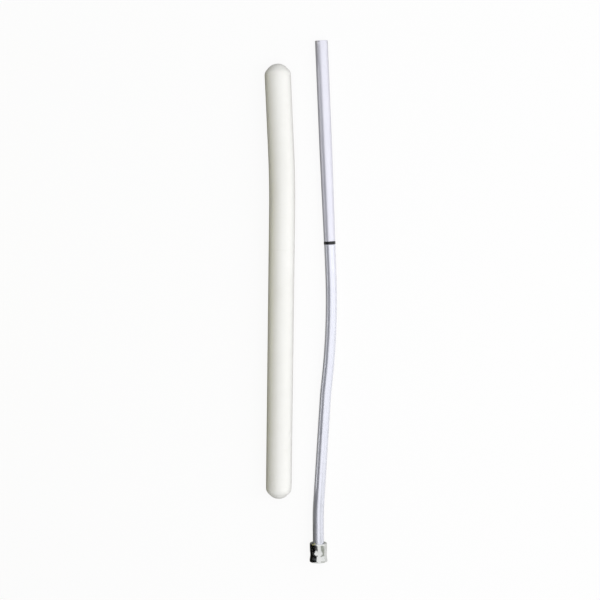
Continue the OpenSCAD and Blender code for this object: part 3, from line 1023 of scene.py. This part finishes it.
# Swept tube: follows a curve, with an optional braided relief
def makeSweepTree():
    tree = bpy.data.node_groups.new("sweptTube", "GeometryNodeTree")
    sockets = {}
    for label, kind in (
        ("Geometry", "NodeSocketGeometry"),
        ("Radius", "NodeSocketFloat"),
        ("Sides", "NodeSocketInt"),
        ("Spacing", "NodeSocketFloat"),
        ("Relief", "NodeSocketFloat"),
        ("Strands", "NodeSocketInt"),
        ("Pitch", "NodeSocketFloat"),
        ("Closed Ends", "NodeSocketBool"),
        ("Material", "NodeSocketMaterial"),
    ):
        sockets[label] = tree.interface.new_socket(label, in_out="INPUT", socket_type=kind).identifier
    tree.interface.new_socket("Geometry", in_out="OUTPUT", socket_type="NodeSocketGeometry")
    given = tree.nodes.new("NodeGroupInput")
    out = tree.nodes.new("NodeGroupOutput")

    resample = addNode(tree, "GeometryNodeResampleCurve", mode="LENGTH")
    circle = tree.nodes.new("GeometryNodeCurvePrimitiveCircle")
    wire(
        tree,
        (given, "Geometry", resample, "Curve"),
        (given, "Spacing", resample, "Length"),
        (given, "Sides", circle, "Resolution"),
        (given, "Radius", circle, "Radius"),
    )
    captured = []
    for source, output in ((resample, "Length"), (circle, "Factor")):
        parameter = tree.nodes.new("GeometryNodeSplineParameter")
        capture = addNode(tree, "GeometryNodeCaptureAttribute", domain="POINT")
        capture.capture_items.new("FLOAT", output)
        wire(tree, (source, "Curve", capture, "Geometry"), (parameter, output, capture, output))
        captured.append(capture)
    route, section = captured

    around = mathOf(tree, "MULTIPLY", section.outputs["Factor"], given.outputs["Strands"])
    along = mathOf(tree, "DIVIDE", route.outputs["Length"], given.outputs["Pitch"])
    waves = []
    for operation in ("ADD", "SUBTRACT"):  # strands wound both ways
        phase = mathOf(tree, "MULTIPLY", mathOf(tree, operation, around, along), math.tau)
        waves.append(mathOf(tree, "SINE", phase))
    height = mathOf(tree, "MULTIPLY", mathOf(tree, "MAXIMUM", *waves), given.outputs["Relief"])

    sweep = tree.nodes.new("GeometryNodeCurveToMesh")
    normal = tree.nodes.new("GeometryNodeInputNormal")
    push = addNode(tree, "ShaderNodeVectorMath", operation="SCALE")
    move = tree.nodes.new("GeometryNodeSetPosition")
    realize = tree.nodes.new("GeometryNodeRealizeInstances")
    paint = tree.nodes.new("GeometryNodeSetMaterial")
    tree.links.new(height, push.inputs["Scale"])
    wire(
        tree,
        (route, "Geometry", sweep, "Curve"),
        (section, "Geometry", sweep, "Profile Curve"),
        (given, "Closed Ends", sweep, "Fill Caps"),
        (normal, "Normal", push, 0),
        (sweep, "Mesh", move, "Geometry"),
        (push, "Vector", move, "Offset"),
        (move, "Geometry", realize, "Geometry"),
        (realize, "Geometry", paint, "Geometry"),
        (given, "Material", paint, "Material"),
        (paint, "Geometry", out, "Geometry"),
    )
    return tree, sockets


sweepTree, sweepSockets = makeSweepTree()


def evaluatedMesh(thing):
    depsgraph = bpy.context.evaluated_depsgraph_get()
    return bpy.data.meshes.new_from_object(thing.evaluated_get(depsgraph), depsgraph=depsgraph)


def sweptPiece(name, runs, values):
    curve = bpy.data.curves.new(name + "Route", "CURVE")
    curve.dimensions = "3D"
    for points, cyclic in runs:
        spline = curve.splines.new("POLY")
        spline.points.add(len(points) - 1)
        for point, place in zip(spline.points, points):
            point.co = (*place, 1)
        spline.use_cyclic_u = cyclic
    guide = addObject(name + "Route", curve)
    modifier = guide.modifiers.new("sweep", "NODES")
    modifier.node_group = sweepTree
    for label, value in values.items():
        modifier[sweepSockets[label]] = value
    mesh = evaluatedMesh(guide)
    mesh.name = name
    guide.modifiers.remove(modifier)
    bpy.data.objects.remove(guide)
    bpy.data.curves.remove(curve)
    smoothFaces(mesh)
    return addObject(name, mesh)


def pointsAlong(route, first, last, step):
    count = max(2, math.ceil((last - first) / step) + 1)
    return [route["at"](first + (last - first) * k / (count - 1))[0] for k in range(count)]


# Lower tube, swept along its bows
lowerTube = {
    "radius": 9.68 * mm,
    "wall": 2.25 * mm,
    "sides": 96,
    "spacing": 4 * mm,
    "routeStep": 2 * mm,
    "edge": 0.35 * mm,
    "edgeSteps": 3,
    "edgeAngle": 60,  # degrees
}


def makeLowerTube(size):
    piece = sweptPiece(
        "lowerTube",
        [(pointsAlong(lowerRoute, 0, lowerEnd, size["routeStep"]), False)],
        {
            "Radius": size["radius"],
            "Sides": size["sides"],
            "Spacing": size["spacing"],
            "Relief": 0.0,  # no braid
            "Strands": 1,
            "Pitch": 1.0,
            "Closed Ends": False,
            "Material": finishes["enamelGloss"],
        },
    )
    wall = piece.modifiers.new("wall", "SOLIDIFY")
    wall.thickness = size["wall"]
    wall.offset = -1
    wall.use_rim = True
    soft = piece.modifiers.new("edge", "BEVEL")
    soft.width = size["edge"]
    soft.segments = size["edgeSteps"]
    soft.limit_method = "ANGLE"
    soft.angle_limit = math.radians(size["edgeAngle"])
    mesh = evaluatedMesh(piece)
    piece.modifiers.clear()
    piece.data = mesh
    smoothFaces(mesh)
    return piece


def cordValues():
    return {
        "Radius": cordSizes["radius"] - cordSizes["relief"],
        "Sides": cordSizes["sides"],
        "Spacing": cordSizes["spacing"],
        "Relief": cordSizes["relief"],
        "Strands": cordSizes["strands"],
        "Pitch": cordSizes["pitch"],
        "Closed Ends": True,
        "Material": finishes["cordSheath"],
    }


def makeCordUpper():
    foot = cordSizes["noseTop"] + cordSizes["runGap"]
    run = pointsAlong(upperRoute, foot, cordSizes["knotFoot"], cordSizes["routeStep"])
    return sweptPiece("cordUpper", [(run, False)], cordValues())


nosePoint = caneMouth + caneUp * cordSizes["noseTop"]
cordRoute = routeOf(
    nosePoint,
    -caneUp,
    caneSide,
    lowerStretches(
        cordSizes["noseTop"] + caneSizes["ringSlot"] + caneSizes["stub"],
        caneSizes["tail"] - loopTop,
    ),
)


def makeCordLower():
    run = pointsAlong(cordRoute, 0, cordRoute["length"], cordSizes["routeStep"])
    middle, _ = lowerRoute["at"](lowerEnd - loopHeight)
    further, _ = lowerRoute["at"](lowerEnd)
    down = (further - middle).normalized()
    loop = []
    for k in range(cordSizes["loopPoints"]):
        angle = math.tau * k / cordSizes["loopPoints"]
        outward = math.sin(angle) * lowerRoute["lift"] - math.cos(angle) * down
        loop.append(middle + cordSizes["loopRadius"] * outward)
    return sweptPiece("cordLower", [(run, False), (loop, True)], cordValues())


# Knot that holds the cord's upper end
cordKnot = {"across": 2.55 * mm, "tube": 1.5 * mm, "height": 6.4 * mm, "points": 120}


def makeCordKnot(size):
    centre, lateral = upperRoute["at"](cordSizes["knotFoot"] + size["height"] / 2)
    points = []
    for k in range(size["points"]):  # an overhand knot, drawn tight
        t = math.tau * k / size["points"]
        x = (math.sin(t) + 2 * math.sin(2 * t)) / 3
        y = (math.cos(t) - 2 * math.cos(2 * t)) / 3
        rise = -math.sin(3 * t) * (size["height"] / 2 - size["tube"])
        points.append(centre + size["across"] * (x * lateral + y * upperRoute["lift"]) + rise * caneUp)
    values = cordValues()
    values["Radius"] = size["tube"]
    values["Relief"] = cordSizes["relief"] / 2
    return sweptPiece("cordKnot", [(points, True)], values)


# Make the pieces, each with its finish and on its body
dress(makeUpperTube(upperTube), "enamelSatin", "upper_section", "tube_white", "upper_tube")
dress(makeTopCap(topCap), "enamelSatin", "upper_section", "tube_white", "top_cap")
dress(makeJointSleeve(jointFit), "turnedAlloy", "upper_section", "joint_alloy", "joint_sleeve")
dress(makeCordKnot(cordKnot), "cordSheath", "upper_section", "elastic_cord", "cord_knot")
print("upper section made")
dress(makeJointRing(jointRing), "ringRubber", "ring_carrier", "ring_black", "joint_ring")
dress(makeLowerTube(lowerTube), "enamelGloss", "lower_section", "tube_white", "lower_tube")
dress(makeJointSpigot(jointFit), "turnedAlloy", "lower_section", "joint_alloy", "joint_spigot")
dress(makeSpigotNose(jointFit), "mouldedNylon", "lower_section", "nylon", "spigot_nose")
print("ring and lower section made")
dress(makeTipShell(tipShell), "tipChrome", "tip", "tip_chrome", "tip_shell")
dress(makeTipStem(tipStem), "mouldedNylon", "tip", "nylon", "tip_stem")
dress(makeTipPad(tipPad), "padRubber", "tip", "tip_rubber", "tip_pad")
dress(makeCordCrimp(cordCrimp), "platedSteel", "tip", "steel", "cord_crimp")
print("tip made")
dress(makeCaseBody(caseSizes), "caseCream", "case_base", "case_cream", "case_body")
dress(makeCaseNeck(caseNeck, neckRing), "neckCream", "case_base", "case_cream", "case_neck")
dress(makeNeckRing(neckRing), "sealRubber", "case_base", "case_ring", "neck_ring")
dress(makeCaseCap(caseSizes), "caseCream", "case_top", "case_cream", "case_cap")
print("case made")

# The elastic cord, made in two runs and left in place
cordUpper = makeCordUpper()
cordLower = makeCordLower()
loopPoint, _ = lowerRoute["at"](lowerEnd - loopTop)
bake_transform(cordUpper)
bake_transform(cordLower)
for cord, node in ((cordUpper, "cord_upper"), (cordLower, "cord_lower")):
    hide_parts(node)
print("cord threaded")

# Small inner pieces keep their solids and get a finish
keptNodes = {
    "anchor_bush": "mouldedNylon",
    "knot_washer": "platedSteel",
    "tip_eye": "platedSteel",
    "tip_screw": "platedSteel",
}
for nodeName, finishName in keptNodes.items():
    node = frame["nodes"][nodeName]
    for materialSlot in node.material_slots:
        materialSlot.material = finishes[finishName]
print("inner pieces finished")


# Studio: a pale floor, soft light from above, the right and both ends, and cards for the dark sides
studio = {
    "floorSize": 14,
    # Painted shade: the floor's tone in the pieces' reflections and bounce, dark left of the case, grey
    # left of the cane and light right of the cane
    "floorShadeTones": ((0.035, 0.033, 0.024), (0.32, 0.32, 0.3), (0.85, 0.85, 0.84)),
    "floorStops": (0, 0.84, 1),
    "floorReach": (-0.15, 0.075),
    "floorPale": (0.9, 0.9, 0.9),
    "floorShow": 0.9,  # how much of the floor is shown white, the rest keeps the shadow
    "skyLight": 0.35,
    "cardFade": (-0.55, -0.2),  # the cards brighten along Y between these
}
# Soft lights: place, width and length, power, and whether the glossy pieces mirror them
lights = {
    "keySoftbox": {"place": (0.4, -0.05, 2.3), "size": (2.0, 3.0), "power": 35, "reflected": False},
    "fillSoftbox": {"place": (2.4, 0.1, 0.6), "size": (1.2, 2.6), "power": 20, "reflected": False},
    "topEndFill": {"place": (0.5, 2.3, 0.7), "size": (1.6, 1.0), "power": 9, "reflected": False},
    "tipEndFill": {"place": (0.5, -2.3, 0.7), "size": (1.6, 1.0), "power": 9, "reflected": False},
    "stripLight": {"place": (1.5, 0.1, 1.65), "size": (0.12, 3.0), "power": 0.8, "reflected": True},
}
# Cards that the pieces mirror: opposite corners, colour, glow beside the tip and beside the upper end,
# and whether matt sides are tinted by them too, as the skirting tints the left side of the case
cards = {
    "greyWall": {
        "from": (-0.95, -0.97, 0),
        "to": (-0.95, 0.5, 2.3),
        "tone": (0.86, 0.91, 1),
        "glow": (0.003, 0.13),
        "shades": True,
    },
    "oliveSkirting": {
        "from": (-0.94, -0.3, 0),
        "to": (-0.94, 0.28, 0.3),
        "tone": (1, 0.91, 0.05),
        "glow": (1.15, 1.15),
        "shades": True,
    },
    "greenCard": {
        "from": (0.9, -0.85, 0.05),
        "to": (0.9, -0.61, 1.5),
        "tone": (0.96, 1, 0.9),
        "glow": (0.4, 0.4),
        "shades": False,
    },
    "overheadFlag": {
        "from": (-1.9, -1.5, 3.0),
        "to": (-0.45, -1.1, 3.0),
        "tone": (1, 1, 1),
        "glow": (0.01, 0.01),
        "shades": False,
    },
    "blackFlag": {
        "from": (-0.4, -0.54, 0.0005),
        "to": (0.012, -0.4, 0.0005),
        "tone": (1, 1, 1),
        "glow": (0.005, 0.005),
        "shades": False,
    },
}


# 1 for the named kinds of ray, 0 for the others
def rayMask(tree, rays):
    path = tree.nodes.new("ShaderNodeLightPath")
    mask = path.outputs[rays[0]]
    for ray in rays[1:]:
        mask = mathOf(tree, "MAXIMUM", mask, path.outputs[ray])
    return mask


def stageMaterial(name):
    material = bpy.data.materials.new(name)
    material.use_nodes = True
    tree = material.node_tree
    tree.nodes.remove(tree.nodes["Principled BSDF"])
    place = tree.nodes.new("ShaderNodeTexCoord")
    split = tree.nodes.new("ShaderNodeSeparateXYZ")
    wire(tree, (place, "Object", split, "Vector"))
    return material, tree, split


def makeFloor(settings):
    bpy.ops.mesh.primitive_plane_add(size=settings["floorSize"])
    floor = bpy.context.object
    floor.name = "tableTop"
    material, tree, split = stageMaterial("paleTableWithPaintedShade")
    # Painted shade: the floor that the pieces reflect and take bounce from runs dark to light across X,
    # darkening their left sides; the camera sees it white
    shade = rangeOf(tree, given=settings["floorReach"])
    tint = rampOf(tree, settings["floorStops"], settings["floorShadeTones"])
    diffuse = tree.nodes.new("ShaderNodeBsdfDiffuse")
    glow = addNode(tree, "ShaderNodeEmission", {"Color": (1, 1, 1, 1), "Strength": 1.0})
    bright = addNode(tree, "ShaderNodeBsdfDiffuse", {"Color": (*settings["floorPale"], 1)})
    shownMix = addNode(tree, "ShaderNodeMixShader", {"Fac": settings["floorShow"]})
    rayMix = tree.nodes.new("ShaderNodeMixShader")
    tree.links.new(rayMask(tree, ("Is Camera Ray", "Is Transmission Ray")), rayMix.inputs["Fac"])
    wire(
        tree,
        (split, "X", shade, "Value"),
        (shade, "Result", tint, "Fac"),
        (tint, "Color", diffuse, "Color"),
        (bright, "BSDF", shownMix, 1),
        (glow, "Emission", shownMix, 2),
        (diffuse, "BSDF", rayMix, 1),
        (shownMix, "Shader", rayMix, 2),
        (rayMix, "Shader", tree.nodes["Material Output"], "Surface"),
    )
    floor.data.materials.append(material)


# Card that the camera doesn't see and that throws no shadow
def makeCard(name, card):
    low, high = Vector(card["from"]), Vector(card["to"])
    mesh = bpy.data.meshes.new(name)
    if low.z == high.z:
        corners = [low, (high.x, low.y, low.z), high, (low.x, high.y, low.z)]
    else:
        corners = [low, (low.x, high.y, low.z), high, (low.x, low.y, high.z)]
    mesh.from_pydata(corners, [], [(0, 1, 2, 3)])
    thing = addObject(name, mesh)
    thing.visible_camera = False
    thing.visible_shadow = False
    thing.visible_diffuse = card["shades"]
    material, tree, split = stageMaterial(name)
    shade = rangeOf(tree, given=studio["cardFade"], wanted=card["glow"])
    glow = addNode(tree, "ShaderNodeEmission", {"Color": (*card["tone"], 1)})
    wire(
        tree,
        (split, "Y", shade, "Value"),
        (shade, "Result", glow, "Strength"),
        (glow, "Emission", tree.nodes["Material Output"], "Surface"),
    )
    mesh.materials.append(material)


def makeLight(name, settings):
    data = bpy.data.lights.new(name, "AREA")
    data.shape = "RECTANGLE"
    data.size, data.size_y = settings["size"]
    data.energy = settings["power"]
    light = addObject(name, data)
    place = Vector(settings["place"])
    light.location = place
    light.rotation_euler = (-place).to_track_quat("-Z", "Y").to_euler()
    light.visible_camera = False
    light.visible_glossy = settings["reflected"]


def makeSky(settings):
    world = bpy.data.worlds.new("studioSky")
    scene.world = world
    world.use_nodes = True
    tree = world.node_tree
    sky = tree.nodes["Background"]
    sky.inputs["Color"].default_value = (1, 1, 1, 1)
    level = rangeOf(tree, wanted=(settings["skyLight"], 1))  # white where it is seen
    seen = rayMask(tree, ("Is Camera Ray", "Is Glossy Ray", "Is Transmission Ray"))
    tree.links.new(seen, level.inputs["Value"])
    wire(tree, (level, "Result", sky, "Strength"))


makeFloor(studio)
for cardName, cardValues in cards.items():
    makeCard(cardName, cardValues)
for lightName, lightValues in lights.items():
    makeLight(lightName, lightValues)
makeSky(studio)
scene.view_settings.view_transform = "Standard"
print("studio lit")
